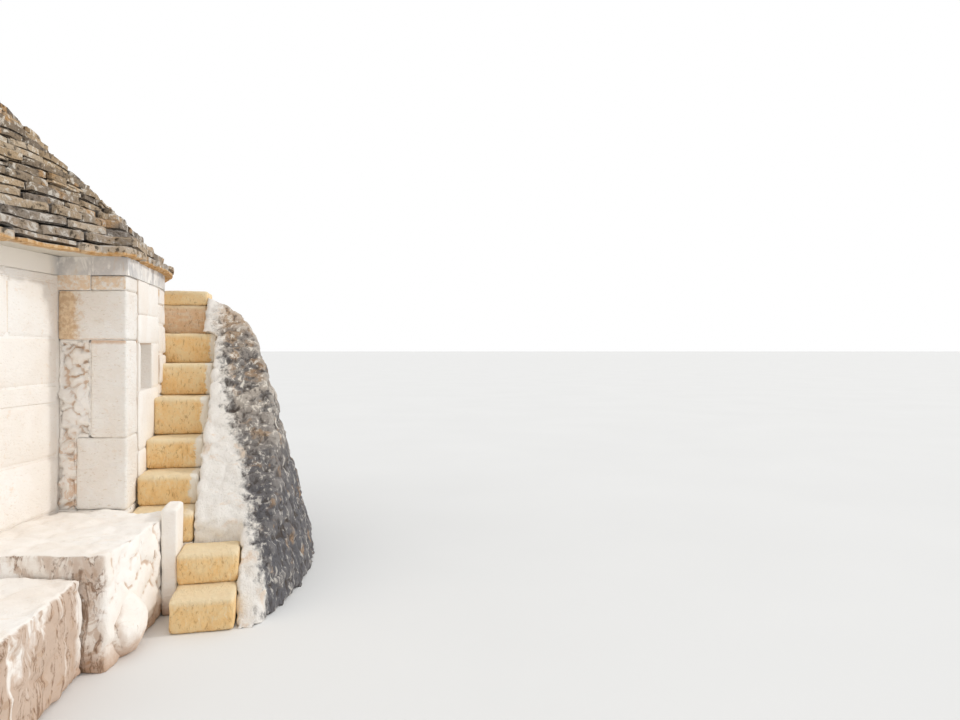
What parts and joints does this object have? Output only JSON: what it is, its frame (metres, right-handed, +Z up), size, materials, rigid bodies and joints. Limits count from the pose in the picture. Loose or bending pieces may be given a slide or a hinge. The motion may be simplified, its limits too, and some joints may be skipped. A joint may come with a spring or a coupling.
{
  "type": "trullo house",
  "caption": "Round dry-stone house with a squared front bay, corbelled cone roof, outside stair to the eave, battered side mass and limewashed wall bench.",
  "frame": {"origin": "middle of the footprint's bounding box, on the ground", "axes": "+Z up, the doorway and squared front towards -Y, the stair and bench on the +X side"},
  "size_m": [5.645, 5.712, 4.542],
  "materials": {
    "limewashed_ashlar": "matte",
    "limewashed_rubble": "matte",
    "worn_step_stone": "matte",
    "floor_stone": "matte",
    "cement_render": "matte",
    "roof_stone": "matte",
    "vault_stone": "matte",
    "pinnacle_stone": "matte",
    "rubble_core": "matte",
    "bench_limewash": "matte",
    "weathered_flank_stone": "matte"
  },
  "bodies": {
    "root": {"corner_stone_foot": "limewashed_ashlar", "corner_stone_low": "limewashed_ashlar", "corner_stone_tall": "limewashed_ashlar", "corner_stone_bearing": "limewashed_ashlar", "corner_stone_top": "limewashed_ashlar", "door_jamb_left": "limewashed_ashlar", "door_jamb_right": "limewashed_ashlar", "door_lintel": "limewashed_ashlar", "rubble_panel": "limewashed_rubble", "wall_front_left": "limewashed_rubble", "wall_front_right": "limewashed_rubble", "wall_stair_side": "limewashed_rubble", "wall_back_right": "limewashed_rubble", "wall_back_left": "limewashed_rubble", "wall_left": "limewashed_rubble", "door_threshold": "worn_step_stone", "step_1": "worn_step_stone", "step_2": "worn_step_stone", "step_3": "worn_step_stone", "step_4": "worn_step_stone", "step_5": "worn_step_stone", "step_6": "worn_step_stone", "step_7": "worn_step_stone", "step_8": "worn_step_stone", "step_9_riser": "worn_step_stone", "step_9_slab": "worn_step_stone", "room_floor": "floor_stone", "render_band": "cement_render", "eave_course": "roof_stone", "cone_ring_1": "roof_stone", "cone_ring_2": "roof_stone", "cone_ring_3": "roof_stone", "cone_ring_4": "roof_stone", "cone_ring_5": "roof_stone", "vault_ring_1": "vault_stone", "vault_ring_2": "vault_stone", "vault_ring_3": "vault_stone", "vault_key_slab": "vault_stone", "pinnacle": "pinnacle_stone", "stair_core": "rubble_core", "bench_ledge": "bench_limewash", "bench_seat": "bench_limewash", "bench_end_slab": "bench_limewash", "stair_flank": "weathered_flank_stone"}
  },
  "joints": []
}
